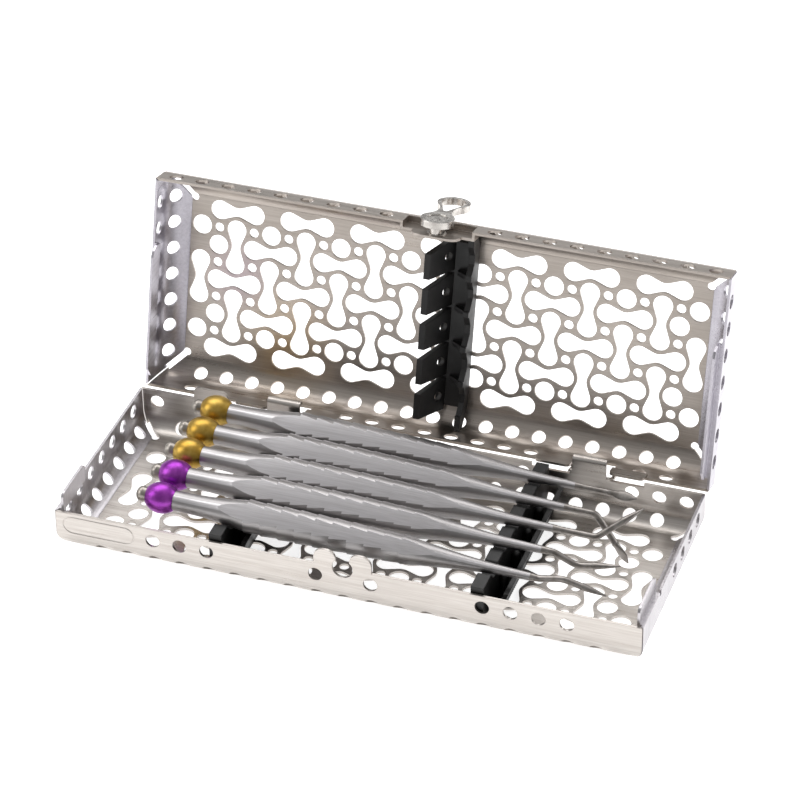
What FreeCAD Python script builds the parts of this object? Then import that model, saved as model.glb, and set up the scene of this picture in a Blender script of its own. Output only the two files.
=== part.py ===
import FreeCAD, Part
import math
import os

from FreeCAD import Placement, Rotation, Vector

os.makedirs("parts", exist_ok=True)

# Millimetres.  X runs along the cassette, Y from the latch (front, -Y) to the hinge (rear, +Y), Z up.
# The origin is on the flat underside, in the middle of the base tray.  The lid is built closed, in
# place on the base, and is then swung open about the hinge axis, which is how the object stands.

# ---- overall sizes ---------------------------------------------------------------------------
LENGTH = 203.0            # over the end walls
WIDTH = 76.4              # over the front and rear walls
SHEET = 0.9               # stainless sheet
BASE_HEIGHT = 15.4        # underside to rim of the base tray
LID_HEIGHT = 15.3         # rim to top face of the lid
RIM_GAP = 0.3             # between the two rims when shut
CLOSED_HEIGHT = BASE_HEIGHT + RIM_GAP + LID_HEIGHT
BASE_BEND = 7.0           # outside radius of the fold between floor and walls
LID_BEND = 8.5
OPEN_ANGLE = 104.0        # the lid rests open at this angle

HALF_L = LENGTH / 2
HALF_W = WIDTH / 2

# ---- perforation -----------------------------------------------------------------------------
PITCH = 12.7              # grid of the pattern in floor and lid
COLUMNS = 14
ROWS = 4
PIN_HOLE_R = 1.65         # small round hole on every grid point
LOBE_R = 3.5              # round end of a dumb-bell slot
WAIST = 3.3               # narrowest width of a dumb-bell slot
WALL_PITCH = 0.75 * PITCH
WALL_HOLE_R = 2.45
WALL_HOLE_BELOW_RIM = 4.5
LID_HOLE_ABOVE_RIM = 3.5

# ---- corners ---------------------------------------------------------------------------------
MITRE_GAP = 0.25          # each side of the open seam between two walls
RELIEF_WIDTH = 2.0        # diagonal slot where two folds would meet
RELIEF_END_R = 1.4

# ---- end flaps that guide the lid ------------------------------------------------------------
FLAP_INSET = 1.7          # outer face of a flap from the outer face of the end wall
BASE_FLAP = (-36.2, -17.5)        # Y range, front of the base
BASE_FLAP_RISE = 5.8
LID_FLAP = (-14.6, 33.4)          # Y range, rear of the lid
LID_FLAP_DROP = 5.4

# ---- hinge -----------------------------------------------------------------------------------
LOOP_WIRE_R = 0.8         # wire loop on the lid, its cross bar is the pivot
LOOP_GAP = 0.3            # between the loop and the rear walls
HINGE_Y = HALF_W + LOOP_GAP + LOOP_WIRE_R
HINGE_Z = 12.9
LOOP_END_Z = 20.3         # where the legs turn in to the lid's wall, lid shut
RUNNING_GAP = 0.06
HINGE_TAB_X = (-48.3, 61.1)
HINGE_TAB_W = 11.8
HINGE_TAB_TOP = 20.9
ROLL_R = 1.6              # outside radius of the rolled top of a hinge tab
HOOK_W = 8.6              # J hook under the cross bar
STOP_TAB_X = -74.6
STOP_TAB_W = 12.4
TONGUE_W = 12.3
TONGUE_X = (-60.9, -35.7, 47.7, 73.7)
TONGUE_END_Z = 11.3
TONGUE_INSET = 1.2
RIM_NOTCH = 1.6           # depth of the rim notches that let the tongues swing through

# ---- latch -----------------------------------------------------------------------------------
LATCH_Z = 15.3            # spindle height when the lid is shut
POCKET_HALF_X = 12.2
POCKET_DEPTH = 2.3
POCKET_TOP = 22.0
TONGUE_HALF_X = 8.6       # tongue that carries the spindle
LATCH_TONGUE_BOTTOM = 11.3
NOTCH_R = 3.6             # keyhole in the base between the two ears
MOUTH_HALF = 2.4
EAR_HALF_X = 10.0
EAR_TOP = 21.6
SPINDLE_R = 1.6
KEY_LONG = 6.6
KEY_SHORT = 4.2
HUB_R = 5.8
HUB_BACK = -HALF_W - 0.85
HUB_THICK = 2.4
RING_R = 5.75
RING_BAND = 1.5
RING_OFFSET = 18.0
NECK_HALF = 2.5
LOBE_HALF_X = 4.8
LOBE_HALF_Z = 1.7
LOBE_THICK = 0.5

# ---- silicone rails --------------------------------------------------------------------------
RAIL_X = (-47.0, 43.4)    # left edge of each rail, where its toothed wall stands
RAIL_STRIP = 2.2
RAIL_STRIP_W = 7.4
RAIL_TOOTH_TOP = 17.6
RAIL_TOOTH_X = 4.4        # thickness of the toothed wall along X
RAIL_NOTCH_TOP = 3.9      # half width of a cradle's mouth
RAIL_LIP = (11.0, 12.5)   # the slanted lip on the right reaches this far and this high
RAIL_LIP_THICK = 1.7
RAIL_CLEAR = 0.35         # under and beside an instrument
RAIL_END_GAP = 0.4        # from the front wall
RAIL_REAR_GAP = 2.1       # from the rear wall, clear of the lid's tongues
PEG_R = 1.5
PEG_TOP = 10.0
LID_RAIL_X = (0.2, 11.4)
LID_RAIL_STRIP = 2.0
LID_WEB_X = 2.0
LID_WEB_DEPTH = 8.2
LID_WEB_FRONT = 34.3      # the web stops short of the latch pocket here
LID_FLAP_SLIT = (1.0, 3.6)        # slit between two fingers at the root and at the free edge
LID_FLAP_THICK = 1.8
LID_FLAP_HOLE_R = 1.6
LID_FLAP_ROOT = (1.4, CLOSED_HEIGHT - SHEET - LID_RAIL_STRIP)
LID_FLAP_TIP = (-4.6, 18.8)
LID_FLAP_LEAN = 3.2       # the free edges lean this far towards the hinge
LID_RIB_HALF = 0.8        # ribs that join the fingers' side to the teeth of the web

# ---- instruments -----------------------------------------------------------------------------
INSTRUMENT_Y = (2 * PITCH, PITCH, 0.0, -PITCH, -2 * PITCH)
BALL_X = -68.5
BALL_Z = (21.0, 20.6, 20.3, 20.1, 19.5)     # the loose instruments lie at slightly different heights
TILT = (1.2, 1.05, 0.75, 0.5, 1.05)         # degrees, the shank end lies lower in its cradle
TURN = 38.0               # every instrument lies with a flat turned this far towards the latch
BALL_CENTRE = 0.6         # the ball is an ellipsoid of revolution
BALL_HALF = 6.2
BALL_R = 5.3
BALL_LEFT = -4.6          # flat faces of the ball along the instrument
BALL_RIGHT = 5.3
KNOB_R = 2.7
KNOB_END = -8.3
NECK_R = 3.4
GRIP_START = 31.0
GRIP_STEP = 6.0
GRIP_STEPS = 9
GRIP_TOOTH = 0.42         # height of a saw tooth
GRIP_R = (5.65, 5.7, 5.7, 5.65, 5.6, 5.5, 5.4, 5.25, 5.05)
FLAT_WIDE = 15.0          # the flats are slightly crowned: half width of their oval section
# distance of a flat from the axis at stations along the handle
FLAT = ((5.3, 4.3), (14.0, 4.15), (21.0, 4.1), (31.0, 4.5), (45.0, 4.8), (60.0, 4.82), (72.0, 4.6),
        (85.0, 4.15), (91.0, 3.82), (97.5, 3.42), (105.0, 3.0), (116.0, 2.5), (128.5, 2.1))
HANDLE_END = 128.5
HANDLE_END_R = 1.3
SHANK_R = 1.1


# ---- small helpers ---------------------------------------------------------------------------
def box(x0, x1, y0, y1, z0, z1):
    return Part.makeBox(x1 - x0, y1 - y0, z1 - z0, Vector(x0, y0, z0))


def cylinder(r, start, direction, length):
    return Part.makeCylinder(r, length, Vector(*start), Vector(*direction))


def prism(points, direction):
    """Closed polygon of 3-D points, extruded."""
    loop = [Vector(*p) for p in points]
    loop.append(loop[0])
    return Part.Face(Part.makePolygon(loop)).extrude(Vector(*direction))


def segment(a, b):
    return Part.makeLine(Vector(*a), Vector(*b))


def arc(a, middle, b):
    return Part.Arc(Vector(*a), Vector(*middle), Vector(*b)).toShape()


def fuse(shapes):
    whole = shapes[0].multiFuse(shapes[1:]) if len(shapes) > 1 else shapes[0]
    return whole.removeSplitter()


def cut(shape, tools):
    return shape.cut(Part.makeCompound(tools))


def save(name, shape):
    solids = shape.Solids
    out = solids[0] if len(solids) == 1 else Part.makeCompound(solids)
    out.exportStep("parts/" + name + ".step")


def turned(shape, degrees):
    """A copy turned about the vertical through the origin."""
    new = shape.copy()
    new.Placement = Placement(Vector(0, 0, 0), Rotation(Vector(0, 0, 1), degrees)) * new.Placement
    return new


# ---- perforated floor ------------------------------------------------------------------------
def circle_wire(x, y, z, r):
    return Part.Wire([Part.makeCircle(r, Vector(x, y, z))])


def dumbbell_wire(cx, cy, z, along_y):
    """Slot with two round ends one pitch apart and a waist that follows the neighbouring slots."""
    half = PITCH / 2
    flank_r = half - WAIST / 2
    reach = math.hypot(half, half)
    swing = math.acos((LOBE_R + flank_r) / reach)
    angle = -math.pi / 4 + swing
    nx, ny = math.cos(angle), math.sin(angle)
    tx, ty = LOBE_R * nx, half + LOBE_R * ny
    fx, fy = half - flank_r * nx, -flank_r * ny

    def at(u, v):
        return (cx + u, cy + v, z) if along_y else (cx + v, cy + u, z)

    return Part.Wire([
        segment(at(tx, ty), at(fx, fy)),
        arc(at(fx, fy), at(WAIST / 2, 0), at(fx, -fy)),
        segment(at(fx, -fy), at(tx, -ty)),
        arc(at(tx, -ty), at(0, -half - LOBE_R), at(-tx, -ty)),
        segment(at(-tx, -ty), at(-fx, -fy)),
        arc(at(-fx, -fy), at(-WAIST / 2, 0), at(-fx, fy)),
        segment(at(-fx, fy), at(-tx, ty)),
        arc(at(-tx, ty), at(0, half + LOBE_R), at(tx, ty)),
    ])


def pattern_wires(z):
    """Every opening of the pattern, centred on the origin.  Cells (i, j) lie between grid lines."""
    wires = []

    def place(i, j):
        return (i - (COLUMNS + 1) / 2) * PITCH, (j - (ROWS + 1) / 2) * PITCH

    for i in range(1, COLUMNS + 1):
        for j in range(1, ROWS + 1):
            x, y = place(i, j)
            wires.append(circle_wire(x, y, z, PIN_HOLE_R))
    for i in range(COLUMNS + 1):
        for j in range(ROWS + 1):
            x, y = place(i + 0.5, j + 0.5)
            upright = (i + j) % 2 == 0
            edge_row = j in (0, ROWS)
            edge_column = i in (0, COLUMNS)
            if upright and edge_row:
                inner = 0.5 if j == 0 else -0.5
                wires.append(circle_wire(x, y + inner * PITCH, z, LOBE_R))
            elif not upright and edge_column:
                inner = 0.5 if i == 0 else -0.5
                wires.append(circle_wire(x + inner * PITCH, y, z, LOBE_R))
            else:
                wires.append(dumbbell_wire(x, y, z, upright))
    return wires


def relief_slots(bend):
    """The four diagonal slots where the folds of neighbouring walls would meet, as tall cutters."""
    cutters = []
    for sx in (-1, 1):
        for sy in (-1, 1):
            start = bend * 0.36
            end = bend + 1.0
            x0, y0 = sx * (HALF_L - start), sy * (HALF_W - start)
            x1, y1 = sx * (HALF_L - end), sy * (HALF_W - end)
            nx, ny = -sy * RELIEF_WIDTH / 2 * math.sqrt(0.5), sx * RELIEF_WIDTH / 2 * math.sqrt(0.5)
            low, tall = -1.0, bend + 1.0
            cutters.append(prism([(x0 + nx, y0 + ny, low), (x1 + nx, y1 + ny, low),
                                  (x1 - nx, y1 - ny, low), (x0 - nx, y0 - ny, low)], (0, 0, tall)))
            cutters.append(cylinder(RELIEF_END_R, (x1, y1, low), (0, 0, 1), tall))
    return cutters


def floor_panel(bend):
    x, y = HALF_L - bend, HALF_W - bend
    edge = Part.makePolygon([Vector(-x, -y, 0), Vector(x, -y, 0), Vector(x, y, 0),
                             Vector(-x, y, 0), Vector(-x, -y, 0)])
    sheet = Part.Face(edge)
    holes = [Part.Face(w) for w in pattern_wires(0)]
    sheet = sheet.cut(Part.makeCompound(holes))
    panel = sheet.extrude(Vector(0, 0, SHEET))
    return cut(panel, relief_slots(bend))


# ---- walls with their folds ------------------------------------------------------------------
def folded_wall(half_long, half_deep, height, bend):
    """A wall along X with its fold, outer face on y = -half_deep, standing on z = 0."""
    y = -half_deep
    inner = bend - SHEET
    c = math.sqrt(0.5)
    yc, zc = y + bend, bend
    x = -half_long
    outline = Part.Wire([
        segment((x, y, height), (x, y, bend)),
        arc((x, y, bend), (x, yc - bend * c, zc - bend * c), (x, yc, 0)),
        segment((x, yc, 0), (x, yc, SHEET)),
        arc((x, yc, SHEET), (x, yc - inner * c, zc - inner * c), (x, y + SHEET, bend)),
        segment((x, y + SHEET, bend), (x, y + SHEET, height)),
        segment((x, y + SHEET, height), (x, y, height)),
    ])
    return Part.Face(outline).extrude(Vector(2 * half_long, 0, 0))


def mitred(wall, half_long, half_deep, bend, height):
    """Cut both ends of a wall along X at 45 degrees, leaving the open seam."""
    e, d = half_long - MITRE_GAP, -half_deep
    keep = prism([(-e, d, 0), (e, d, 0), (e - bend, d + bend, 0), (-e + bend, d + bend, 0)],
                 (0, 0, height))
    return wall.common(keep)


def wall_holes(indices, half_deep, z):
    return [cylinder(WALL_HOLE_R, (k * WALL_PITCH, -half_deep - 1, z), (0, 1, 0), SHEET + 2)
            for k in indices]


def fold_holes(indices, half_deep, bend):
    """Round holes across the middle of the fold."""
    return [cylinder(WALL_HOLE_R, (k * WALL_PITCH, -half_deep + bend, bend), (0, -1, -1), bend + 1)
            for k in indices]


def plain_wall(half_long, half_deep, height, bend, holes, hole_z, fold_indices):
    wall = folded_wall(half_long, half_deep, height, bend)
    wall = mitred(wall, half_long, half_deep, bend, height)
    return cut(wall, wall_holes(holes, half_deep, hole_z) + fold_holes(fold_indices, half_deep, bend))


def step_flap(x_range, half_deep, rim, rise, inset):
    """A strip that steps in behind the wall at the rim and then runs on past it."""
    x0, x1 = x_range
    y = -half_deep
    ledge = box(x0, x1, y, y + inset + SHEET, rim - SHEET, rim)
    strip = box(x0, x1, y + inset, y + inset + SHEET, rim - SHEET, rim + rise)
    corner_r = 2.0
    trims = []
    for x, side in ((x0, 1), (x1, -1)):
        block = box(min(x, x + side * corner_r), max(x, x + side * corner_r), y, y + inset + 2,
                    rim + rise - corner_r, rim + rise + 1)
        disc = cylinder(corner_r, (x + side * corner_r, y - 1, rim + rise - corner_r), (0, 1, 0), inset + 4)
        trims.append(block.cut(disc))
    return [ledge, cut(strip, trims)]


# ---- base tray -------------------------------------------------------------------------------
def latch_ears():
    parts = []
    y = -HALF_W
    low = BASE_HEIGHT - 1.0
    outer_r, inner_r = 3.5, 3.0
    for s in (-1, 1):
        outline = Part.Wire([
            segment((s * EAR_HALF_X, y, low), (s * EAR_HALF_X, y, EAR_TOP - outer_r)),
            arc((s * EAR_HALF_X, y, EAR_TOP - outer_r),
                (s * (EAR_HALF_X - outer_r * (1 - math.sqrt(0.5))), y, EAR_TOP - outer_r * (1 - math.sqrt(0.5))),
                (s * (EAR_HALF_X - outer_r), y, EAR_TOP)),
            segment((s * (EAR_HALF_X - outer_r), y, EAR_TOP), (s * (MOUTH_HALF + inner_r), y, EAR_TOP)),
            arc((s * (MOUTH_HALF + inner_r), y, EAR_TOP),
                (s * (MOUTH_HALF + inner_r * (1 - math.sqrt(0.5))), y, EAR_TOP - inner_r * (1 - math.sqrt(0.5))),
                (s * MOUTH_HALF, y, EAR_TOP - inner_r)),
            segment((s * MOUTH_HALF, y, EAR_TOP - inner_r), (s * MOUTH_HALF, y, low)),
            segment((s * MOUTH_HALF, y, low), (s * EAR_HALF_X, y, low)),
        ])
        parts.append(Part.Face(outline).extrude(Vector(0, SHEET, 0)))
    return parts


def capsule_groove():
    """Pressed outline of a blank marking field near the left end of the front wall."""
    x0, x1, zc, r, line, deep = -95.3, -76.6, 10.9, 3.45, 0.45, 0.15
    y = -HALF_W

    def slot(radius):
        middle = box(x0, x1, y - 1, y + deep, zc - radius, zc + radius)
        ends = [cylinder(radius, (x, y - 1, zc), (0, 1, 0), 1 + deep) for x in (x0, x1)]
        return fuse([middle] + ends)

    return slot(r).cut(slot(r - line))


def base_front():
    holes = (-7, -6, -5, -1, 1, 5, 6, 7, 8)
    wall = plain_wall(HALF_L, HALF_W, BASE_HEIGHT, BASE_BEND, holes,
                      BASE_HEIGHT - WALL_HOLE_BELOW_RIM, range(-9, 10))
    wall = fuse([wall] + latch_ears())
    keyhole = [cylinder(NOTCH_R, (0, -HALF_W - 1, LATCH_Z), (0, 1, 0), SHEET + 2),
               box(-MOUTH_HALF, MOUTH_HALF, -HALF_W - 1, -HALF_W + SHEET + 1, LATCH_Z, EAR_TOP + 1)]
    return cut(wall, keyhole + [capsule_groove()] + relief_slots(BASE_BEND))


def rear(shape):
    """Turn a wall built at the front round to the rear; its x values change sign."""
    return turned(shape, 180)


def hinge_tab(x):
    """Tab that rises from the rear wall and rolls outwards at the top (built at the front, x mirrored)."""
    y = -HALF_W
    half = HINGE_TAB_W / 2
    top = HINGE_TAB_TOP
    yc, zc = y + SHEET - ROLL_R, top - ROLL_R
    inner = ROLL_R - SHEET
    roll = Part.Wire([
        segment((x - half, y + SHEET, BASE_HEIGHT - 1), (x - half, y + SHEET, zc)),
        arc((x - half, y + SHEET, zc), (x - half, yc, top), (x - half, yc - ROLL_R, zc)),
        segment((x - half, yc - ROLL_R, zc), (x - half, yc - inner, zc)),
        arc((x - half, yc - inner, zc), (x - half, yc, zc + inner), (x - half, y, zc)),
        segment((x - half, y, zc), (x - half, y, BASE_HEIGHT - 1)),
        segment((x - half, y, BASE_HEIGHT - 1), (x - half, y + SHEET, BASE_HEIGHT - 1)),
    ])
    return Part.Face(roll).extrude(Vector(HINGE_TAB_W, 0, 0))


def hinge_hook(x):
    """J hook that carries the pivot bar of the lid (built at the front, x mirrored)."""
    inner = LOOP_WIRE_R + RUNNING_GAP
    outer = inner + SHEET
    y, z = -HINGE_Y, HINGE_Z
    x0 = x - HOOK_W / 2
    ring = cylinder(outer, (x0, y, z), (1, 0, 0), HOOK_W)
    lower = box(x0, x0 + HOOK_W, y - outer - 1, -HALF_W + SHEET / 2, z - outer - 1, z + 0.3)
    bore = cylinder(inner, (x0 - 1, y, z), (1, 0, 0), HOOK_W + 2)
    return ring.common(lower).cut(bore)


def base_rear():
    wall = plain_wall(HALF_L, HALF_W, BASE_HEIGHT, BASE_BEND, (-10, -9, -8, -4, 0, 4, 7, 8, 10),
                      BASE_HEIGHT - WALL_HOLE_BELOW_RIM, range(-9, 10))
    tabs = [hinge_tab(-x) for x in HINGE_TAB_X]
    hooks = [hinge_hook(-x) for x in HINGE_TAB_X]
    stop_x = -STOP_TAB_X
    stop = step_flap((stop_x - STOP_TAB_W / 2, stop_x + STOP_TAB_W / 2), HALF_W, BASE_HEIGHT,
                     HINGE_TAB_TOP - BASE_HEIGHT, TONGUE_INSET)
    notch_half = TONGUE_W / 2 + 0.5
    notches = [box(-x - notch_half, -x + notch_half, -HALF_W - 1, -HALF_W + SHEET + 0.2,
                   BASE_HEIGHT - RIM_NOTCH, BASE_HEIGHT + 1) for x in TONGUE_X]
    wall = cut(fuse([wall] + stop), notches)
    wall = fuse([wall] + tabs + hooks)
    return rear(cut(wall, relief_slots(BASE_BEND)))


def base_end(side):
    """side -1 is the left end, +1 the right end."""
    holes = (-3, -2, -1, 0, 1, 2, 3) if side < 0 else (0, 1, 2, 3)
    sign = -1 if side < 0 else 1
    wall = plain_wall(HALF_W, HALF_L, BASE_HEIGHT, BASE_BEND, [sign * k for k in holes],
                      BASE_HEIGHT - WALL_HOLE_BELOW_RIM + 0.4, range(-3, 4))
    # built along X with its outer face on -Y, so the cassette's front is at +X for the left end
    f0, f1 = BASE_FLAP
    span = (sign * f0, sign * f1) if side > 0 else (-f1, -f0)
    span = (min(span), max(span))
    flap = step_flap(span, HALF_L, BASE_HEIGHT, BASE_FLAP_RISE, FLAP_INSET)
    wall = fuse([wall] + flap)
    notch_x = span[0] if side < 0 else span[1]
    notch = box(notch_x - 0.9, notch_x + 0.9, -HALF_L - 1, -HALF_L + SHEET + FLAP_INSET + 1,
                BASE_HEIGHT - SHEET - 0.8, BASE_HEIGHT + 0.01)
    wall = cut(wall, [notch])
    placed = turned(wall, 90 if side > 0 else -90)
    return cut(placed, relief_slots(BASE_BEND))


# ---- lid tray, built upside down on z = 0 and then flipped ------------------------------------
def lid_place(shape):
    """From the upside-down tray frame to the closed position on the base."""
    flip = Placement(Vector(0, 0, CLOSED_HEIGHT), Rotation(Vector(1, 0, 0), 180))
    new = shape.copy()
    new.Placement = flip * new.Placement
    return new


def opened(shape):
    """Swing a shape of the closed lid open about the hinge axis."""
    swing = Placement(Vector(0, 0, 0), Rotation(Vector(1, 0, 0), -OPEN_ANGLE), Vector(0, HINGE_Y, HINGE_Z))
    new = shape.copy()
    new.Placement = swing * new.Placement
    return new


LID_RIM = BASE_HEIGHT + RIM_GAP


def lid_panel():
    return lid_place(floor_panel(LID_BEND))


def lid_front():
    """Closed frame.  The flip about X turns the rear of the tray frame to the front."""
    holes = [k for k in range(-10, 11) if abs(k) > 1]
    wall = plain_wall(HALF_L, HALF_W, LID_HEIGHT, LID_BEND, holes,
                      LID_HEIGHT - LID_HOLE_ABOVE_RIM, range(-9, 10))
    wall = lid_place(rear(cut(wall, relief_slots(LID_BEND))))
    y, deep = -HALF_W, POCKET_DEPTH
    frame = box(-POCKET_HALF_X - SHEET, POCKET_HALF_X + SHEET, y, y + deep + SHEET, LID_RIM, POCKET_TOP + SHEET)
    hollow = box(-POCKET_HALF_X, POCKET_HALF_X, y - 1, y + deep, LID_RIM - 1, POCKET_TOP)
    tongue = box(-TONGUE_HALF_X, TONGUE_HALF_X, y + deep, y + deep + SHEET, LATCH_TONGUE_BOTTOM, LID_RIM + 1)
    corner_r = 3.6
    trims = []
    for s in (-1, 1):
        x = s * TONGUE_HALF_X
        block = box(min(x, x - s * corner_r), max(x, x - s * corner_r), y, y + deep + SHEET + 1,
                    LATCH_TONGUE_BOTTOM - 1, LATCH_TONGUE_BOTTOM + corner_r)
        disc = cylinder(corner_r, (x - s * corner_r, y - 1, LATCH_TONGUE_BOTTOM + corner_r), (0, 1, 0), 6)
        trims.append(block.cut(disc))
    wall = fuse([wall, frame]).cut(hollow)
    wall = fuse([wall, cut(tongue, trims)])
    bore = cylinder(SPINDLE_R + RUNNING_GAP, (0, y, LATCH_Z), (0, 1, 0), 6)
    return wall.cut(bore)


def lid_rear():
    indices = [k for k in range(-9, 10) if k not in (-8, -7, -5, -4, 5, 6, 7)]
    wall = plain_wall(HALF_L, HALF_W, LID_HEIGHT, LID_BEND, indices,
                      LID_HEIGHT - LID_HOLE_ABOVE_RIM, range(-9, 10))
    wall = lid_place(cut(wall, relief_slots(LID_BEND)))
    slot_half = HINGE_TAB_W / 2 + 0.8
    slots = [box(x - slot_half, x + slot_half, HALF_W - SHEET - 1, HALF_W + 1, LID_RIM - 1, HINGE_TAB_TOP + 1.5)
             for x in HINGE_TAB_X]
    wall = cut(wall, slots)
    y1 = HALF_W - TONGUE_INSET
    corner_r = 1.8
    parts = [wall]
    for x in TONGUE_X:
        x0, x1 = x - TONGUE_W / 2, x + TONGUE_W / 2
        parts.append(box(x0, x1, y1 - SHEET, HALF_W - SHEET / 2, LID_RIM, LID_RIM + SHEET))
        strip = box(x0, x1, y1 - SHEET, y1, TONGUE_END_Z, LID_RIM + SHEET)
        trims = []
        for edge, s in ((x0, 1), (x1, -1)):
            block = box(min(edge, edge + s * corner_r), max(edge, edge + s * corner_r), y1 - 2, y1 + 1,
                        TONGUE_END_Z - 1, TONGUE_END_Z + corner_r)
            disc = cylinder(corner_r, (edge + s * corner_r, y1 - 3, TONGUE_END_Z + corner_r), (0, 1, 0), 6)
            trims.append(block.cut(disc))
        parts.append(cut(strip, trims))
    return fuse(parts)


def lid_end(side):
    wall = plain_wall(HALF_W, HALF_L, LID_HEIGHT, LID_BEND, range(-3, 4),
                      LID_HEIGHT - LID_HOLE_ABOVE_RIM, range(-3, 4))
    placed = turned(wall, 90 if side > 0 else -90)
    placed = lid_place(cut(placed, relief_slots(LID_BEND)))
    f0, f1 = LID_FLAP
    x_out, x_in = side * HALF_L, side * (HALF_L - FLAP_INSET - SHEET)
    x_face = side * (HALF_L - FLAP_INSET)
    ledge = box(min(x_out, x_in), max(x_out, x_in), f0, f1, LID_RIM, LID_RIM + SHEET)
    low = LID_RIM - LID_FLAP_DROP
    lead = 3.5
    x0 = min(x_face, x_in)
    strip = prism([(x0, f0, LID_RIM + SHEET), (x0, f0, low + lead), (x0, f0 + lead * 0.4, low + lead * 0.3),
                   (x0, f0 + lead, low), (x0, f1 - lead, low), (x0, f1, low + lead), (x0, f1, LID_RIM + SHEET)],
                  (SHEET, 0, 0))
    return fuse([placed, ledge, strip])


def hinge_loop(x):
    """Wire loop welded to the outside of the lid's rear wall; its cross bar is the pivot."""
    reach = HINGE_TAB_W / 2 + 1.6
    x0, x1 = x - reach, x + reach
    y, low, top = HINGE_Y, HINGE_Z, LOOP_END_Z
    path = [(x0, HALF_W, top), (x0, y, top), (x0, y, low), (x1, y, low), (x1, y, top), (x1, HALF_W, top)]
    wire = rounded_path(path, LOOP_WIRE_R + 0.05)
    start = Part.Wire([Part.makeCircle(LOOP_WIRE_R, Vector(*path[0]), Vector(0, 1, 0))])
    return wire.makePipeShell([start], True, True)


# ---- latch, closed frame ---------------------------------------------------------------------
def latch_handle():
    """Hub disc, neck and finger ring in one flat piece; the ring points straight up when unlocked."""
    y = HUB_BACK - HUB_THICK
    up = (0, 1, 0)
    zc = LATCH_Z
    zr = LATCH_Z + RING_OFFSET
    hub = cylinder(HUB_R, (0, y, zc), up, HUB_THICK)
    ring = cylinder(RING_R, (0, y, zr), up, HUB_THICK)
    # concave flanks between the two discs
    middle = (zc + zr) / 2
    gap = RING_OFFSET / 2
    flank_r = (gap * gap + NECK_HALF * NECK_HALF - HUB_R * HUB_R) / (2 * (HUB_R - NECK_HALF))
    touch = HUB_R / (HUB_R + flank_r)
    tx, tz = touch * (NECK_HALF + flank_r), touch * gap
    body = prism([(-tx, y, zc + tz), (tx, y, zc + tz), (tx, y, zr - tz), (-tx, y, zr - tz)], (0, HUB_THICK, 0))
    flanks = [cylinder(flank_r, (s * (NECK_HALF + flank_r), y - 1, middle), up, HUB_THICK + 2) for s in (-1, 1)]
    plate = fuse([hub, ring, cut(body, flanks)])
    # the finger opening is a circle drawn out to a point towards the hub
    inner = RING_R - RING_BAND
    tip = zr - RING_OFFSET * 0.56
    reach = zr - tip
    sx = inner * math.sqrt(1 - (inner / reach) ** 2)
    sz = inner * inner / reach
    opening = [cylinder(inner, (0, y - 1, zr), up, HUB_THICK + 2),
               prism([(-sx, y - 1, zr - sz), (sx, y - 1, zr - sz), (0.5, y - 1, tip), (-0.5, y - 1, tip)],
                     (0, HUB_THICK + 2, 0))]
    plate = cut(plate, opening + [cylinder(SPINDLE_R, (0, y - 1, zc), up, HUB_THICK + 2)])
    # raised rim round the spindle's end
    recess = cylinder(HUB_R - 2.2, (0, y - 1, zc), up, 1.25)
    return plate.cut(recess)


def latch_lobes():
    """Flat two-lobed spring plate under the hub."""
    y = HUB_BACK
    middle = box(-LOBE_HALF_X + LOBE_HALF_Z, LOBE_HALF_X - LOBE_HALF_Z, y, y + LOBE_THICK,
                 LATCH_Z - LOBE_HALF_Z, LATCH_Z + LOBE_HALF_Z)
    ends = [cylinder(LOBE_HALF_Z, (s * (LOBE_HALF_X - LOBE_HALF_Z), y, LATCH_Z), (0, 1, 0), LOBE_THICK)
            for s in (-1, 1)]
    boss = cylinder(2.4, (0, y, LATCH_Z), (0, 1, 0), LOBE_THICK)
    plate = fuse([middle, boss] + ends)
    return plate.cut(cylinder(SPINDLE_R, (0, y - 1, LATCH_Z), (0, 1, 0), 4))


WASHER_THICK = 0.4
POCKET_FACE = -HALF_W + POCKET_DEPTH


def latch_key():
    """Oval key that passes the keyhole's mouth upright and is held when it lies across."""
    y0, y1 = HUB_BACK + LOBE_THICK, POCKET_FACE - WASHER_THICK - 0.1
    half = (KEY_LONG - KEY_SHORT) / 2
    r = KEY_SHORT / 2
    block = box(-r, r, y0, y1, LATCH_Z - half, LATCH_Z + half)
    ends = [cylinder(r, (0, y0, LATCH_Z + s * half), (0, 1, 0), y1 - y0) for s in (-1, 1)]
    return fuse([block] + ends).cut(cylinder(SPINDLE_R, (0, y0 - 1, LATCH_Z), (0, 1, 0), y1 - y0 + 2))


def latch_washer():
    disc = cylinder(3.4, (0, POCKET_FACE - WASHER_THICK, LATCH_Z), (0, 1, 0), WASHER_THICK)
    return disc.cut(cylinder(SPINDLE_R + RUNNING_GAP, (0, POCKET_FACE - 2, LATCH_Z), (0, 1, 0), 4))


def latch_spindle():
    y0 = HUB_BACK - HUB_THICK + 0.25
    y1 = POCKET_FACE + SHEET + 0.4
    return cylinder(SPINDLE_R, (0, y0, LATCH_Z), (0, 1, 0), y1 - y0)


def latch_rivet():
    """Domed head that holds the spindle on the inside."""
    y0 = POCKET_FACE + SHEET + 0.1
    head_r, rise = 2.5, 1.1
    ball_r = (head_r * head_r + rise * rise) / (2 * rise)
    ball = Part.makeSphere(ball_r, Vector(0, y0 + rise - ball_r, LATCH_Z))
    head = ball.common(cylinder(head_r, (0, y0, LATCH_Z), (0, 1, 0), rise + 1))
    return head.cut(cylinder(SPINDLE_R, (0, y0 - 1, LATCH_Z), (0, 1, 0), 1.3))


# ---- silicone rails --------------------------------------------------------------------------
def axis_z(index, x):
    """Height of an instrument's axis at x."""
    return BALL_Z[index] - math.tan(math.radians(TILT[index])) * (x - BALL_X)


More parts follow.
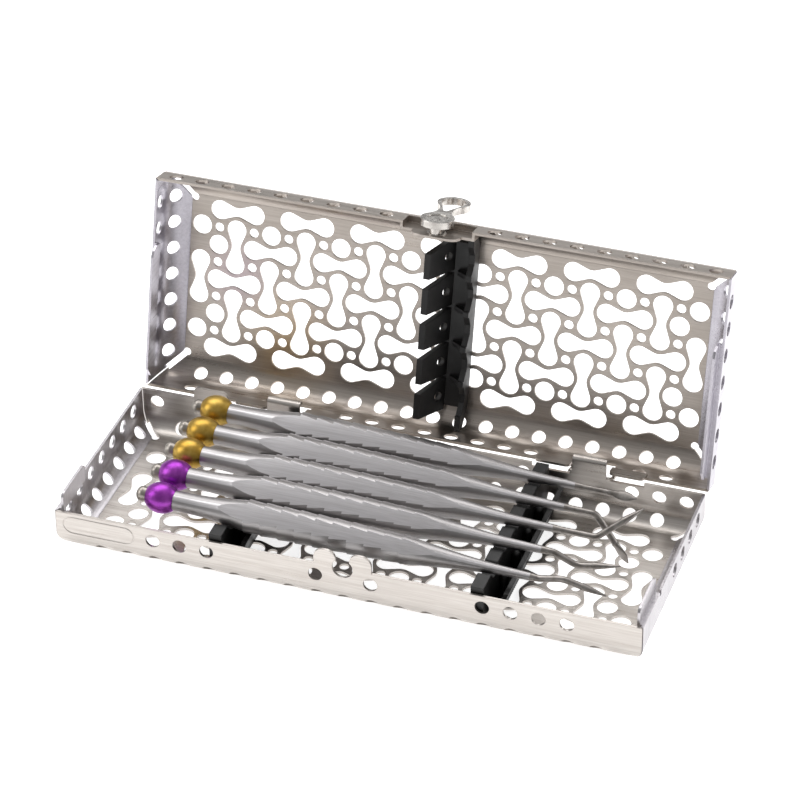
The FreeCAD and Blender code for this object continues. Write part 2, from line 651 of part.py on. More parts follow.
def handle_radius(x0, x1):
    """Largest radius of a handle between two places along X."""
    a, b = x0 - BALL_X, x1 - BALL_X
    stations = handle_profile()
    found = [SHANK_R]
    for (p, r), (q, s) in zip(stations, stations[1:]):
        if q > a and p < b:
            found += [r, s]
    return max(found)


def base_rail(x0):
    """Silicone rail: strip on the floor, toothed wall with a cradle per instrument, slanted lip, pegs."""
    y0 = -(HALF_W - SHEET - RAIL_END_GAP)
    y1 = HALF_W - SHEET - RAIL_REAR_GAP
    foot = HALF_W - BASE_BEND
    low = SHEET + RAIL_STRIP - 0.5
    rise = BASE_BEND - 0.5
    strip = box(x0, x0 + RAIL_STRIP_W, -foot, foot, SHEET, SHEET + RAIL_STRIP)
    wall = prism([(x0, -foot, low), (x0, foot, low), (x0, y1, rise), (x0, y1, RAIL_TOOTH_TOP),
                  (x0, y0, RAIL_TOOTH_TOP), (x0, y0, rise)], (RAIL_TOOTH_X, 0, 0))
    reach, high = RAIL_LIP
    xs = x0 + RAIL_STRIP_W
    lip = prism([(xs - RAIL_LIP_THICK, -foot, low), (xs, -foot, low), (x0 + reach, -foot, high),
                 (x0 + reach - RAIL_LIP_THICK, -foot, high)], (0, 2 * foot, 0))
    x1 = x0 + RAIL_TOOTH_X
    r = handle_radius(x0, x1) + RAIL_CLEAR
    cradles = []
    for index, y in enumerate(INSTRUMENT_Y):
        z = min(axis_z(index, x0), axis_z(index, x1))
        mouth = max(RAIL_NOTCH_TOP, r)
        side = 0.92 * r
        drop = math.sqrt(r * r - side * side)
        cradles.append(cylinder(r, (x0 - 1, y, z), (1, 0, 0), RAIL_TOOTH_X + 2))
        cradles.append(prism([(x0 - 1, y - side, z - drop), (x0 - 1, y + side, z - drop),
                              (x0 - 1, y + mouth, RAIL_TOOTH_TOP + 0.1), (x0 - 1, y + mouth, RAIL_TOOTH_TOP + 9),
                              (x0 - 1, y - mouth, RAIL_TOOTH_TOP + 9), (x0 - 1, y - mouth, RAIL_TOOTH_TOP + 0.1)],
                             (RAIL_TOOTH_X + 2, 0, 0)))
    peg_x = x0 + RAIL_TOOTH_X + PEG_R
    pegs = []
    for k in range(1, 5):
        y = (k - 2.5) * PITCH
        pegs.append(cylinder(PEG_R, (peg_x, y, low), (0, 0, 1), PEG_TOP - low))
        pegs.append(Part.makeSphere(PEG_R, Vector(peg_x, y, PEG_TOP)))
    return fuse([strip, cut(wall, cradles), lip] + pegs)


LID_INSIDE = CLOSED_HEIGHT - SHEET


def lid_rail():
    """Strip on the inside of the lid with a toothed web between the instruments, closed frame."""
    x0, x1 = LID_RAIL_X
    y1 = HALF_W - LID_BEND
    low = LID_INSIDE - LID_RAIL_STRIP
    strip = box(x0, x1, -y1, y1, low, LID_INSIDE)
    web_x = x1 - LID_WEB_X
    bottom = LID_INSIDE - LID_WEB_DEPTH
    rear_end = HALF_W - SHEET - 1.2
    web = prism([(web_x, -y1, LID_INSIDE - 0.5), (web_x, y1, LID_INSIDE - 0.5), (web_x, rear_end, LID_INSIDE - 5),
                 (web_x, rear_end, bottom), (web_x, -LID_WEB_FRONT, bottom), (web_x, -LID_WEB_FRONT, LID_INSIDE - 5)],
                (LID_WEB_X, 0, 0))
    notches = []
    for index, y in enumerate(INSTRUMENT_Y):
        half, shoulder = 5.4, 1.6
        roof = axis_z(index, web_x) + handle_radius(web_x, x1) + 0.6
        notches.append(prism([(web_x - 1, y - half, bottom - 1), (web_x - 1, y - half, roof - 2.2),
                              (web_x - 1, y - shoulder, roof + 0.4), (web_x - 1, y + shoulder, roof + 0.4),
                              (web_x - 1, y + half, roof - 2.2), (web_x - 1, y + half, bottom - 1)],
                             (LID_WEB_X + 2, 0, 0)))
    ribs = []
    for k in range(4):
        y = (k - 1.5) * PITCH
        ribs.append(prism([(web_x + 0.5, y - LID_RIB_HALF, low + 0.5), (web_x + 0.5, y - LID_RIB_HALF, bottom + 0.6),
                           (LID_FLAP_ROOT[0] + 3.6, y - LID_RIB_HALF, low - 1.2),
                           (LID_FLAP_ROOT[0] + 3.6, y - LID_RIB_HALF, low + 0.5)], (0, 2 * LID_RIB_HALF, 0)))
    return fuse([strip, cut(web, notches)] + ribs)


def lid_rail_fingers():
    """Five slanting fingers that bend over the handles when the lid is shut, closed frame."""
    (xr, zr), (xt, zt) = LID_FLAP_ROOT, LID_FLAP_TIP
    span = math.hypot(xt - xr, zt - zr)
    shift = LID_FLAP_THICK * span / (zr - zt)
    across = ((zr - zt) / span, 0, (xt - xr) / span)
    root, tip_half = [(PITCH - slit) / 2 for slit in LID_FLAP_SLIT]
    slope = LID_FLAP_LEAN / (zr - zt)
    fingers = []
    for k in range(-2, 3):
        y = k * PITCH
        yt = y + LID_FLAP_LEAN
        face = [(xr, y - root, zr), (xr, y + root, zr), (xt, yt + tip_half, zt), (xt, yt - tip_half, zt)]
        finger = prism(face, (shift, 0, 0))
        part_way = 0.22
        xh, zh = xr + part_way * (xt - xr) + shift / 2, zr + part_way * (zt - zr)
        start = (xh - 4 * across[0], y + slope * (zr - zh), zh - 4 * across[2])
        fingers.append(finger.cut(cylinder(LID_FLAP_HOLE_R, start, across, 8)))
    return Part.makeCompound(fingers)


# ---- instruments, local frame: X along the instrument from the centre of the ball -------------
def handle_profile():
    """(distance, radius) stations of the handle, each step of the grip a short cone."""
    stations = [(BALL_RIGHT, NECK_R), (14.0, NECK_R + 0.1), (19.0, NECK_R + 0.45), (25.0, NECK_R + 1.15),
                (GRIP_START, GRIP_R[0] - GRIP_TOOTH)]
    for n, r in enumerate(GRIP_R):
        x = GRIP_START + n * GRIP_STEP
        stations.append((x, r))
        stations.append((x + GRIP_STEP, r - GRIP_TOOTH))
    end = GRIP_START + GRIP_STEPS * GRIP_STEP
    stations += [(end, 4.9), (end + 6.0, 4.15), (end + 12.5, 3.4), (end + 20.0, 2.6), (end + 28.0, 1.95),
                 (HANDLE_END, HANDLE_END_R)]
    return stations


def smooth_edge(stations, start, end):
    """Smooth outline through (distance, radius) stations with given end directions."""
    curve = Part.BSplineCurve()
    curve.interpolate([Vector(x, 0, r) for x, r in stations], InitialTangent=Vector(*start),
                      FinalTangent=Vector(*end))
    return curve.toShape()


def turned_solid(edges):
    """Turn a closed outline in the X-Z plane round the X axis."""
    return Part.Face(Part.Wire(edges)).revolve(Vector(0, 0, 0), Vector(1, 0, 0), 360)


def handle():
    stations = handle_profile()
    taper = 5 + 2 * GRIP_STEPS
    head, steps, tail = stations[:5], stations[5:taper], stations[taper:]
    edges = [segment((BALL_RIGHT, 0, 0), (BALL_RIGHT, 0, NECK_R))]
    edges.append(smooth_edge(head, (1, 0, 0), (1, 0, 0.05)))
    points = [head[-1]] + steps
    for a, b in zip(points, points[1:]):
        edges.append(segment((a[0], 0, a[1]), (b[0], 0, b[1])))
    edges.append(segment((points[-1][0], 0, points[-1][1]), (tail[0][0], 0, tail[0][1])))
    edges.append(smooth_edge(tail, (1, 0, -0.09), (1, 0, -0.03)))
    edges.append(segment((tail[-1][0], 0, tail[-1][1]), (tail[-1][0], 0, 0)))
    edges.append(segment((tail[-1][0], 0, 0), (BALL_RIGHT, 0, 0)))
    body = turned_solid(edges)
    # an oval body with the same axis, wider than the grip, leaves the two crowned flats
    first, last = FLAT[0], FLAT[-1]
    oval = turned_solid([
        segment((first[0] - 1, 0, 0), (first[0] - 1, 0, first[1])),
        segment((first[0] - 1, 0, first[1]), (first[0], 0, first[1])),
        smooth_edge(FLAT, (1, 0, 0), (1, 0, -0.03)),
        segment((last[0], 0, last[1]), (last[0] + 1, 0, last[1])),
        segment((last[0] + 1, 0, last[1]), (last[0] + 1, 0, 0)),
        segment((last[0] + 1, 0, 0), (first[0] - 1, 0, 0)),
    ])
    widen = FreeCAD.Matrix()
    widen.scale(1, FLAT_WIDE / GRIP_R[0], 1)
    return body.common(oval.transformGeometry(widen))


def ball():
    def outline(x):
        return BALL_R * math.sqrt(1 - ((x - BALL_CENTRE) / BALL_HALF) ** 2)

    count = 12
    xs = [BALL_LEFT + (BALL_RIGHT - BALL_LEFT) * n / count for n in range(count + 1)]
    curve = Part.BSplineCurve()
    curve.interpolate([Vector(x, 0, outline(x)) for x in xs])
    return turned_solid([
        segment((BALL_LEFT, 0, 0), (BALL_LEFT, 0, outline(BALL_LEFT))),
        curve.toShape(),
        segment((BALL_RIGHT, 0, outline(BALL_RIGHT)), (BALL_RIGHT, 0, 0)),
        segment((BALL_RIGHT, 0, 0), (BALL_LEFT, 0, 0)),
    ])


def knob():
    """Domed end knob of the instrument, seen past the coloured ball."""
    shoulder = KNOB_END + KNOB_R * 0.8
    c = math.sqrt(0.5)
    return turned_solid([
        segment((KNOB_END, 0, 0), (KNOB_END, 0, 0.4)),
        arc((KNOB_END, 0, 0.4), (shoulder - (shoulder - KNOB_END) * c, 0, 0.4 + (KNOB_R - 0.4) * c),
            (shoulder, 0, KNOB_R)),
        segment((shoulder, 0, KNOB_R), (BALL_LEFT, 0, KNOB_R - 0.3)),
        segment((BALL_LEFT, 0, KNOB_R - 0.3), (BALL_LEFT, 0, 0)),
        segment((BALL_LEFT, 0, 0), (KNOB_END, 0, 0)),
    ])


def rounded_path(points, radius):
    """A wire through the points with every corner rounded."""
    edges = []
    last = Vector(*points[0])
    for a, b, c in zip(points, points[1:], points[2:]):
        va, vb, vc = Vector(*a), Vector(*b), Vector(*c)
        u, v = (va - vb).normalize(), (vc - vb).normalize()
        angle = u.getAngle(v)
        back = radius / math.tan(angle / 2)
        p, q = vb + u * back, vb + v * back
        centre = vb + (u + v).normalize() * (radius / math.sin(angle / 2))
        middle = centre + (vb - centre).normalize() * radius
        edges.append(Part.makeLine(last, p))
        edges.append(Part.Arc(p, middle, q).toShape())
        last = q
    edges.append(Part.makeLine(last, Vector(*points[-1])))
    return Part.Wire(edges)


def oval_wire(centre, direction, side, half_wide, half_thick):
    """Ellipse across a direction, its long axis along side."""
    normal = direction.cross(side).normalize()
    if half_wide >= half_thick:
        ellipse = Part.Ellipse(centre + side * half_wide, centre + normal * half_thick, centre)
    else:
        ellipse = Part.Ellipse(centre + normal * half_thick, centre + side * half_wide, centre)
    return Part.Wire([ellipse.toShape()])


def blade(start, end, side, sections):
    """Loft of ovals from start to end; each section is (fraction, half width, half thickness)."""
    a, b = Vector(*start), Vector(*end)
    direction = (b - a).normalize()
    a = a - direction * BLADE_LAP
    side = (Vector(*side) - direction * Vector(*side).dot(direction)).normalize()
    wires = [oval_wire(a + (b - a) * f, direction, side, w, t) for f, w, t in sections]
    return Part.makeLoft(wires, True, False)


SPADE = ((0.0, 1.35, 1.25), (0.22, 1.3, 0.85), (0.5, 1.75, 0.55), (0.75, 1.35, 0.4), (1.0, 0.18, 0.16))
SICKLE = ((0.0, 1.4, 1.3), (0.12, 1.25, 1.15), (0.45, 0.95, 0.85), (0.75, 0.6, 0.5), (1.0, 0.12, 0.11))
BLADE_LAP = 0.5           # the blade's shoulder sits this far back over the shank
COLLAR_LENGTH = 3.0

# each tip: corner points of the shank, bend radius, end of the blade, blade side, blade sections
TIPS = (
    dict(path=[(HANDLE_END, 0, 0), (140.5, 0, 0)], bend=3.0, end=(149.8, 0, -0.2), side=(0, 0.9, 0.45),
         sections=SPADE),
    dict(path=[(HANDLE_END, 0, 0), (139.3, 0, 0), (147.4, -3.1, -8.35)], bend=3.2, end=(152.5, -5.06, -13.6),
         side=(0.8, -0.3, 0.5), sections=SPADE),
    dict(path=[(HANDLE_END, 0, 0), (143.2, 0, 0), (151.3, 4.55, 5.65)], bend=3.0, end=(156.9, 7.7, 9.56),
         side=(0.5, -0.8, 0.3), sections=SICKLE),
    dict(path=[(HANDLE_END, 0, 0), (132.5, 0, 0), (140.3, 0, -3.6), (146.6, 0, -2.2)], bend=6.0,
         end=(155.2, 0, -0.3), side=(0, 1, 0), sections=SICKLE),
    dict(path=[(HANDLE_END, 0, 0), (131.5, 0, 0.0), (139.3, 0, 1.9), (146.3, 0, 0.4)], bend=8.0,
         end=(154.2, 0, -1.3), side=(0, 1, 0), sections=SICKLE),
)


def tip(path, bend, end, side, sections):
    start = path[0]
    wire = rounded_path(path, bend) if len(path) > 2 else Part.Wire([segment(path[0], path[1])])
    first = Part.Wire([Part.makeCircle(SHANK_R, Vector(*start), Vector(1, 0, 0))])
    shank = wire.makePipeShell([first], True, True)
    collar = Part.makeCone(HANDLE_END_R, SHANK_R - 0.05, COLLAR_LENGTH, Vector(*start), Vector(1, 0, 0))
    return fuse([shank, collar, blade(path[-1], end, side, sections)])


def instrument_place(shape, index, turn=0.0):
    new = shape.copy()
    lie = Placement(Vector(BALL_X, INSTRUMENT_Y[index], BALL_Z[index]), Rotation(Vector(0, 1, 0), TILT[index]))
    new.Placement = lie * Placement(Vector(0, 0, 0), Rotation(Vector(1, 0, 0), turn)) * new.Placement
    return new


# ---- write every piece -----------------------------------------------------------------------
save("base_floor", floor_panel(BASE_BEND))
save("base_front_wall", base_front())
save("base_rear_wall", base_rear())
save("base_left_wall", base_end(-1))
save("base_right_wall", base_end(1))
save("base_rail_left", base_rail(RAIL_X[0]))
save("base_rail_right", base_rail(RAIL_X[1]))

save("lid_panel", opened(lid_panel()))
save("lid_front_wall", opened(lid_front()))
save("lid_rear_wall", opened(lid_rear()))
save("lid_left_wall", opened(lid_end(-1)))
save("lid_right_wall", opened(lid_end(1)))
for loop_name, tab_x in zip(("lid_hinge_loop_left", "lid_hinge_loop_right"), HINGE_TAB_X):
    save(loop_name, opened(hinge_loop(tab_x)))
save("lid_rail", opened(lid_rail()))
save("lid_rail_fingers", opened(lid_rail_fingers()))

save("latch_handle", opened(latch_handle()))
save("latch_lobes", opened(latch_lobes()))
save("latch_key", opened(latch_key()))
save("latch_spindle", opened(latch_spindle()))
save("latch_rivet", opened(latch_rivet()))
save("latch_washer", opened(latch_washer()))

GRIP, BALL, KNOB = handle(), ball(), knob()
for index, tip_data in enumerate(TIPS):
    name = f"instrument_{index + 1}_"
    save(name + "handle", instrument_place(GRIP, index, TURN))
    save(name + "ball", instrument_place(BALL, index))
    save(name + "knob", instrument_place(KNOB, index))
    save(name + "tip", instrument_place(tip(**tip_data), index))
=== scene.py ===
import math

import bpy
from mathutils import Matrix, Vector


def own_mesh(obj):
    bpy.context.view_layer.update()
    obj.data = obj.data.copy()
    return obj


# Metres.  X along the cassette, Y from the latch to the hinge, Z up; the origin is on the underside.

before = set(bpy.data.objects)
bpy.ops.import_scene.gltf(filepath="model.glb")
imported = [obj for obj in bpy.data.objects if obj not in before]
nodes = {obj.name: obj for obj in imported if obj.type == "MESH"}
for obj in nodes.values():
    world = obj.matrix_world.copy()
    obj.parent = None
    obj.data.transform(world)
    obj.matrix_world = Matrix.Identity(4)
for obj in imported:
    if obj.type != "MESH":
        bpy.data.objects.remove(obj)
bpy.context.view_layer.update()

FLAT_TURN = math.radians(38.0)    # each handle lies with a ground flat turned this far towards the latch

# ---- node helpers ----------------------------------------------------------------------------
class Build:
    """Short forms for making a shader tree."""

    def __init__(self, name):
        self.material = bpy.data.materials.new(name)
        self.material.use_nodes = True
        self.tree = self.material.node_tree
        self.tree.nodes.clear()
        self.out = self.add("ShaderNodeOutputMaterial")
        self.shader = self.add("ShaderNodeBsdfPrincipled")
        self.link(self.shader.outputs[0], self.out.inputs["Surface"])
        self.coords = self.add("ShaderNodeTexCoord").outputs["Object"]

    def add(self, kind, **settings):
        node = self.tree.nodes.new(kind)
        for key, value in settings.items():
            setattr(node, key, value)
        return node

    def link(self, a, b):
        self.tree.links.new(a, b)

    def put(self, socket, value):
        if hasattr(value, "is_output"):
            self.link(value, socket)
        else:
            socket.default_value = value

    def stretched(self, scale, turn=(0.0, 0.0, 0.0)):
        """Object coordinates turned and then scaled per axis."""
        first = self.add("ShaderNodeMapping")
        first.inputs["Rotation"].default_value = turn
        self.link(self.coords, first.inputs["Vector"])
        second = self.add("ShaderNodeMapping")
        second.inputs["Scale"].default_value = scale
        self.link(first.outputs[0], second.inputs["Vector"])
        return second.outputs[0]

    def noise(self, vector, scale, detail=3.0, roughness=0.55):
        node = self.add("ShaderNodeTexNoise")
        self.link(vector, node.inputs["Vector"])
        node.inputs["Scale"].default_value = scale
        node.inputs["Detail"].default_value = detail
        node.inputs["Roughness"].default_value = roughness
        return node.outputs["Fac"]

    def remap(self, value, low, high, out_low, out_high):
        node = self.add("ShaderNodeMapRange")
        node.inputs["From Min"].default_value = low
        node.inputs["From Max"].default_value = high
        node.inputs["To Min"].default_value = out_low
        node.inputs["To Max"].default_value = out_high
        self.link(value, node.inputs["Value"])
        return node.outputs[0]

    def math(self, operation, a, b=0.0):
        node = self.add("ShaderNodeMath", operation=operation)
        self.put(node.inputs[0], a)
        self.put(node.inputs[1], b)
        return node.outputs[0]

    def mix(self, factor, a, b):
        node = self.add("ShaderNodeMix", data_type="RGBA")
        self.put(node.inputs["Factor"], factor)
        self.put(node.inputs["A"], a)
        self.put(node.inputs["B"], b)
        return node.outputs["Result"]

    def spot(self, centre, radius):
        """1 at a point of the object, falling to 0 at the radius."""
        node = self.add("ShaderNodeVectorMath", operation="DISTANCE")
        self.link(self.coords, node.inputs[0])
        node.inputs[1].default_value = centre
        return self.remap(node.outputs["Value"], 0.0, radius, 1.0, 0.0)

    def bump(self, height, strength, distance, normal=None):
        node = self.add("ShaderNodeBump")
        node.inputs["Strength"].default_value = strength
        node.inputs["Distance"].default_value = distance
        self.link(height, node.inputs["Height"])
        if normal is not None:
            self.link(normal, node.inputs["Normal"])
        return node.outputs["Normal"]

    def edge_normal(self, radius):
        node = self.add("ShaderNodeBevel", samples=4)
        node.inputs["Radius"].default_value = radius
        return node.outputs["Normal"]


def rgb(r, g, b):
    """Linear colour from display values of 0 to 255."""
    def linear(v):
        v /= 255.0
        return v / 12.92 if v <= 0.04045 else ((v + 0.055) / 1.055) ** 2.4
    return (linear(r), linear(g), linear(b), 1.0)


# ---- materials -------------------------------------------------------------------------------
def brushed_sheet(name, light, dark, turn=(0.0, 0.0, 0.0), rough=0.30, tints=()):
    """Rolled stainless sheet: streaks along the blank, faint smears, softened edges."""
    m = Build(name)
    streaks = m.noise(m.stretched((18.0, 900.0, 900.0), turn), 1.0, 4.0, 0.6)
    fine = m.noise(m.stretched((120.0, 5200.0, 5200.0), turn), 1.0, 2.0, 0.5)
    smears = m.noise(m.stretched((22.0, 34.0, 34.0), turn), 1.0, 4.0, 0.62)
    grain = m.math("ADD", m.math("MULTIPLY", streaks, 0.6), m.math("MULTIPLY", fine, 0.4))
    colour = m.mix(m.remap(grain, 0.34, 0.66, 0.0, 1.0), dark, light)
    colour = m.mix(m.remap(smears, 0.42, 0.75, 0.0, 0.22), colour, dark)
    for centre, radius, tint, amount in tints:
        near = m.math("MULTIPLY", m.spot(centre, radius), amount)
        colour = m.mix(m.math("MULTIPLY", near, m.remap(smears, 0.3, 0.7, 0.5, 1.0)), colour, tint)
    roughness = m.math("ADD", m.remap(grain, 0.3, 0.7, rough - 0.05, rough + 0.07),
                       m.remap(smears, 0.35, 0.7, -0.03, 0.07))
    m.put(m.shader.inputs["Base Color"], colour)
    m.put(m.shader.inputs["Roughness"], roughness)
    m.shader.inputs["Metallic"].default_value = 1.0
    m.put(m.shader.inputs["Normal"], m.bump(grain, 0.35, 0.00003, m.edge_normal(0.00022)))
    return m.material


def tumbled_steel(name, light, dark, rough):
    m = Build(name)
    cloud = m.noise(m.stretched((1.0, 1.0, 1.0)), 420.0, 3.0)
    speck = m.noise(m.stretched((1.0, 1.0, 1.0)), 3800.0, 2.0)
    m.put(m.shader.inputs["Base Color"], m.mix(m.remap(cloud, 0.35, 0.65, 0.0, 1.0), dark, light))
    m.put(m.shader.inputs["Roughness"], m.remap(cloud, 0.3, 0.7, rough - 0.05, rough + 0.08))
    m.shader.inputs["Metallic"].default_value = 1.0
    m.put(m.shader.inputs["Normal"], m.bump(speck, 0.15, 0.00002, m.edge_normal(0.0003)))
    return m.material


def satin_grip(name):
    """Bead-blasted grip with two ground flats that look smoother and lighter."""
    m = Build(name)
    facing = m.add("ShaderNodeVectorMath", operation="DOT_PRODUCT")
    m.link(m.add("ShaderNodeTexCoord").outputs["Normal"], facing.inputs[0])
    facing.inputs[1].default_value = (0.0, -math.sin(FLAT_TURN), math.cos(FLAT_TURN))
    flat = m.remap(m.math("ABSOLUTE", facing.outputs["Value"]), 0.955, 0.975, 0.0, 1.0)
    blast = m.noise(m.stretched((1.0, 1.0, 1.0)), 5200.0, 2.0)
    cloud = m.noise(m.stretched((40.0, 160.0, 160.0)), 1.0, 3.0)
    ground = m.noise(m.stretched((60.0, 3000.0, 3000.0)), 1.0, 2.0)
    body = m.mix(m.remap(cloud, 0.35, 0.65, 0.0, 1.0), rgb(150, 147, 147), rgb(168, 165, 165))
    top = m.mix(m.remap(ground, 0.35, 0.65, 0.0, 1.0), rgb(198, 195, 196), rgb(212, 209, 211))
    m.put(m.shader.inputs["Base Color"], m.mix(flat, body, top))
    soft = m.remap(blast, 0.3, 0.7, 0.36, 0.46)
    m.put(m.shader.inputs["Roughness"], m.math("SUBTRACT", soft, m.math("MULTIPLY", flat, 0.08)))
    m.shader.inputs["Metallic"].default_value = 1.0
    height = m.math("MULTIPLY", blast, m.math("SUBTRACT", 1.0, flat))
    m.put(m.shader.inputs["Normal"], m.bump(height, 0.25, 0.00003, m.edge_normal(0.0002)))
    return m.material


def anodised(name, light, dark, rough):
    m = Build(name)
    cloud = m.noise(m.stretched((1.0, 1.0, 1.0)), 260.0, 3.0)
    turned = m.noise(m.stretched((6500.0, 160.0, 160.0)), 1.0, 2.0)
    m.put(m.shader.inputs["Base Color"], m.mix(m.remap(cloud, 0.35, 0.65, 0.0, 1.0), dark, light))
    m.put(m.shader.inputs["Roughness"], m.remap(cloud, 0.3, 0.7, rough - 0.04, rough + 0.05))
    m.shader.inputs["Metallic"].default_value = 1.0
    m.put(m.shader.inputs["Normal"], m.bump(turned, 0.12, 0.00002, m.edge_normal(0.0003)))
    return m.material


def moulded_silicone(name):
    m = Build(name)
    cloud = m.noise(m.stretched((1.0, 1.0, 1.0)), 180.0, 4.0)
    grain = m.noise(m.stretched((1.0, 1.0, 1.0)), 2600.0, 2.0)
    worn = m.remap(cloud, 0.35, 0.7, 0.0, 1.0)
    deep, dusty = (0.004, 0.0037, 0.0037, 1.0), (0.010, 0.0094, 0.0094, 1.0)
    m.put(m.shader.inputs["Base Color"], m.mix(worn, deep, dusty))
    m.put(m.shader.inputs["Roughness"], m.remap(cloud, 0.3, 0.7, 0.38, 0.55))
    m.put(m.shader.inputs["Normal"], m.bump(grain, 0.25, 0.00004, m.edge_normal(0.0004)))
    return m.material


def paint(material, *names):
    for name in names:
        mesh = nodes[name].data
        mesh.materials.clear()
        mesh.materials.append(material)
        for polygon in mesh.polygons:
            polygon.material_index = 0


LIGHT, DARK = rgb(206, 201, 196), rgb(176, 169, 163)
sheet = brushed_sheet("tray_sheet", LIGHT, DARK)
# faint heat tints on the lid: centre, radius, colour, amount
HEAT = ((Vector((-0.055, 0.058, 0.03)), 0.022, rgb(214, 178, 120), 0.5),
        (Vector((-0.075, 0.066, 0.05)), 0.016, rgb(176, 150, 176), 0.45))
# the lid's sheet colours are set darker than the tray's: painted shade, as lid and tray are the same steel
lid_sheet_painted_shade = brushed_sheet("lid_sheet_painted_shade", rgb(190, 182, 175), rgb(160, 151, 143), tints=HEAT)
# end-wall sheets of tray and lid carry a lavender tint: painted reflection from the way these walls face;
# the turned brushing direction is real
end_sheet = brushed_sheet("tray_end_sheet", rgb(206, 203, 206), rgb(176, 172, 176),
                          (0.0, math.radians(90.0), 0.0))
lid_end_sheet = brushed_sheet("lid_end_sheet", rgb(204, 201, 208), rgb(174, 170, 178),
                              (0.0, 0.0, math.radians(-90.0)))

paint(sheet, "base_floor", "base_front_wall", "base_rear_wall")
paint(end_sheet, "base_left_wall", "base_right_wall")
paint(lid_sheet_painted_shade, "lid_panel", "lid_front_wall", "lid_rear_wall")
paint(lid_end_sheet, "lid_left_wall", "lid_right_wall")
paint(tumbled_steel("latch_steel", rgb(214, 210, 205), rgb(178, 173, 168), 0.24),
      "latch_handle", "latch_lobes", "latch_key", "latch_spindle", "latch_rivet", "latch_washer",
      "lid_hinge_loop_left", "lid_hinge_loop_right")
paint(moulded_silicone("silicone"), "base_rail_left", "base_rail_right", "lid_rail", "lid_rail_fingers")

grip = satin_grip("grip_steel")
tip_steel = tumbled_steel("tip_steel", rgb(160, 155, 151), rgb(132, 127, 123), 0.34)
knob_steel = tumbled_steel("knob_steel", rgb(178, 172, 164), rgb(146, 140, 134), 0.36)
gold = anodised("gold_ball", rgb(198, 166, 86), rgb(174, 138, 60), 0.36)
purple = anodised("purple_ball", rgb(168, 78, 184), rgb(136, 54, 154), 0.36)
for number in range(1, 6):
    paint(grip, f"instrument_{number}_handle")
    paint(tip_steel, f"instrument_{number}_tip")
    paint(knob_steel, f"instrument_{number}_knob")
    paint(gold if number <= 3 else purple, f"instrument_{number}_ball")

# smooth shading within each face, sharp along real edges
EDGE_ANGLE, GRIP_EDGE_ANGLE = math.radians(28.0), math.radians(18.0)
for piece in nodes.values():
    for polygon in piece.data.polygons:
        polygon.use_smooth = True
    sharp = GRIP_EDGE_ANGLE if piece.name.endswith("handle") else EDGE_ANGLE
    piece.data.set_sharp_from_angle(angle=sharp)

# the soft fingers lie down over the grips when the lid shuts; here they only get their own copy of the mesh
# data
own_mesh(nodes["lid_rail_fingers"])


# ---- floor, lights and camera ----------------------------------------------------------------
def stage_floor():
    half, below = 6.0, -0.0002
    mesh = bpy.data.meshes.new("studio_floor")
    corners = [(-half, -half), (half, -half), (half, half), (-half, half)]
    mesh.from_pydata([(x, y, below) for x, y in corners], [], [(0, 1, 2, 3)])
    floor = bpy.data.objects.new("studio_floor", mesh)
    bpy.context.scene.collection.objects.link(floor)
    m = Build("floor_paper")
    m.shader.inputs["Base Color"].default_value = (0.86, 0.86, 0.86, 1.0)
    m.shader.inputs["Roughness"].default_value = 0.9
    m.shader.inputs["Specular IOR Level"].default_value = 0.1
    m.shader.inputs["Emission Color"].default_value = (1.0, 1.0, 1.0, 1.0)
    m.shader.inputs["Emission Strength"].default_value = 0.75
    mesh.materials.append(m.material)


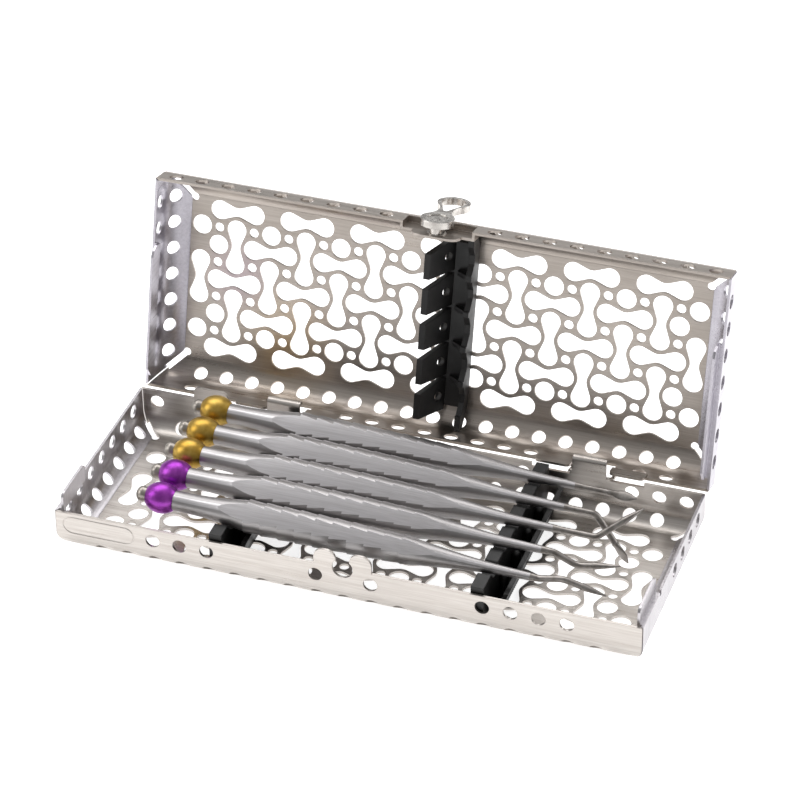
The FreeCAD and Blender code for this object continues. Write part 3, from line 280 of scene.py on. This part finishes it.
def studio_world():
    """Light grey room: bright overhead and behind the object, darker towards the camera's side."""
    world = bpy.data.worlds.new("studio")
    bpy.context.scene.world = world
    world.use_nodes = True
    tree = world.node_tree
    tree.nodes.clear()
    out = tree.nodes.new("ShaderNodeOutputWorld")
    background = tree.nodes.new("ShaderNodeBackground")
    tree.links.new(background.outputs[0], out.inputs["Surface"])
    direction = tree.nodes.new("ShaderNodeTexCoord").outputs["Generated"]
    split = tree.nodes.new("ShaderNodeSeparateXYZ")
    tree.links.new(direction, split.inputs[0])

    def ramp(value, stops):
        node = tree.nodes.new("ShaderNodeValToRGB")
        node.color_ramp.elements[0].position = stops[0][0]
        node.color_ramp.elements[0].color = (*[stops[0][1]] * 3, 1.0)
        node.color_ramp.elements[1].position = stops[-1][0]
        node.color_ramp.elements[1].color = (*[stops[-1][1]] * 3, 1.0)
        for position, level in stops[1:-1]:
            element = node.color_ramp.elements.new(position)
            element.color = (level, level, level, 1.0)
        tree.links.new(value, node.inputs[0])
        return node.outputs[0]

    def calc(operation, a, b):
        node = tree.nodes.new("ShaderNodeMath")
        node.operation = operation
        for socket, value in zip(node.inputs, (a, b)):
            if hasattr(value, "is_output"):
                tree.links.new(value, socket)
            else:
                socket.default_value = value
        return node.outputs[0]

    height = calc("MULTIPLY_ADD", split.outputs["Z"], 0.5)
    height.node.inputs[2].default_value = 0.5
    depth = calc("MULTIPLY_ADD", split.outputs["Y"], 0.5)
    depth.node.inputs[2].default_value = 0.5
    up = ramp(height, [(0.0, 0.55), (0.5, 0.45), (0.62, 0.6), (0.8, 1.0), (1.0, 1.0)])
    back = ramp(depth, [(0.0, 0.5), (0.35, 0.62), (0.6, 1.0), (1.0, 1.0)])
    level = calc("MULTIPLY", up, back)
    tree.links.new(level, background.inputs["Color"])
    background.inputs["Strength"].default_value = 0.72


def soft_light(name, place, look_at, size, power, colour=(1.0, 1.0, 1.0)):
    data = bpy.data.lights.new(name, "AREA")
    data.shape = "RECTANGLE"
    data.size, data.size_y = size
    data.energy = power
    data.color = colour
    lamp = bpy.data.objects.new(name, data)
    bpy.context.scene.collection.objects.link(lamp)
    lamp.location = place
    lamp.rotation_euler = (Vector(look_at) - Vector(place)).to_track_quat("-Z", "Y").to_euler()


def camera():
    azimuth, elevation, roll = math.radians(19.217), math.radians(34.818), math.radians(-0.632)
    target, distance = Vector((0.007211, 0.0, 0.05843)), 1.22804
    back = Vector((math.sin(azimuth) * math.cos(elevation), -math.cos(azimuth) * math.cos(elevation),
                   math.sin(elevation)))
    right = Vector((math.cos(azimuth), math.sin(azimuth), 0.0))
    up = back.cross(right)
    right, up = (math.cos(roll) * right + math.sin(roll) * up, math.cos(roll) * up - math.sin(roll) * right)
    data = bpy.data.cameras.new("camera")
    data.sensor_width = 36.0
    data.lens = 169.65
    data.clip_start, data.clip_end = 0.01, 30.0
    body = bpy.data.objects.new("camera", data)
    bpy.context.scene.collection.objects.link(body)
    place = Matrix((right, up, back)).transposed().to_4x4()
    place.translation = target + back * distance
    body.matrix_world = place
    bpy.context.scene.camera = body


stage_floor()
studio_world()
soft_light("overhead", (-0.45, 0.55, 1.25), (0.0, 0.02, 0.04), (1.6, 0.9), 12.0)
soft_light("left_fill", (-1.2, -0.5, 0.7), (0.0, 0.0, 0.04), (0.6, 0.8), 5.0)
soft_light("right_back", (1.1, 0.9, 0.8), (0.0, 0.0, 0.05), (0.7, 0.6), 5.0)
camera()
bpy.context.scene.view_settings.view_transform = "Standard"
